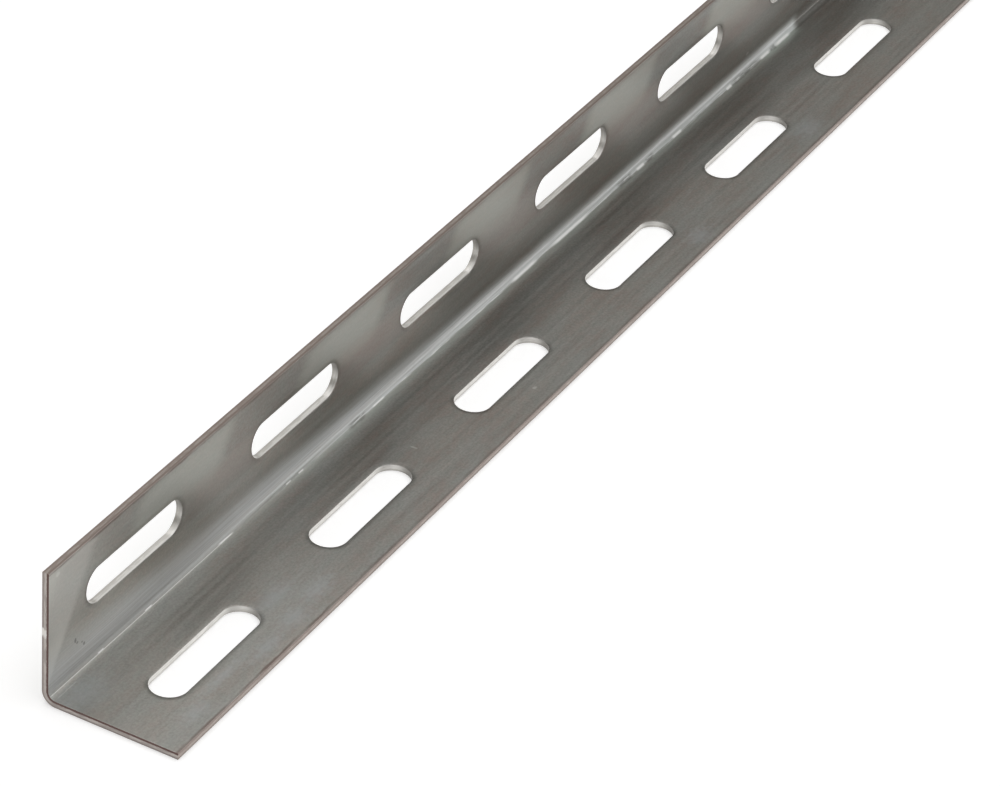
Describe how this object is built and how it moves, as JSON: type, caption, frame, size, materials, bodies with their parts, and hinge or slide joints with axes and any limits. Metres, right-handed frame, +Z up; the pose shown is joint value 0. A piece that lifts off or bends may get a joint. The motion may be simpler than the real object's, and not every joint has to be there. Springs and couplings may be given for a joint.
{
  "type": "perforated steel angle",
  "caption": "L-shaped length of folded sheet steel with a row of round-ended bolt slots along each leg, for bolting up brackets, frames and hangers.",
  "frame": {"origin": "middle of the underside of the overall box, on the surface that the flat leg lies on", "axes": "+X along the length, from the cut end that the picture shows to the other; +Y from the flat leg's free edge to the heel, so the upright leg's outer face points +Y; +Z up along the upright leg"},
  "size_m": [0.6096, 0.0318, 0.0318],
  "materials": {
    "steel": "satin mill finish, bare and lightly oiled, with rolling marks along the length"
  },
  "bodies": {
    "root": {"perforated_angle": "steel"}
  },
  "joints": []
}
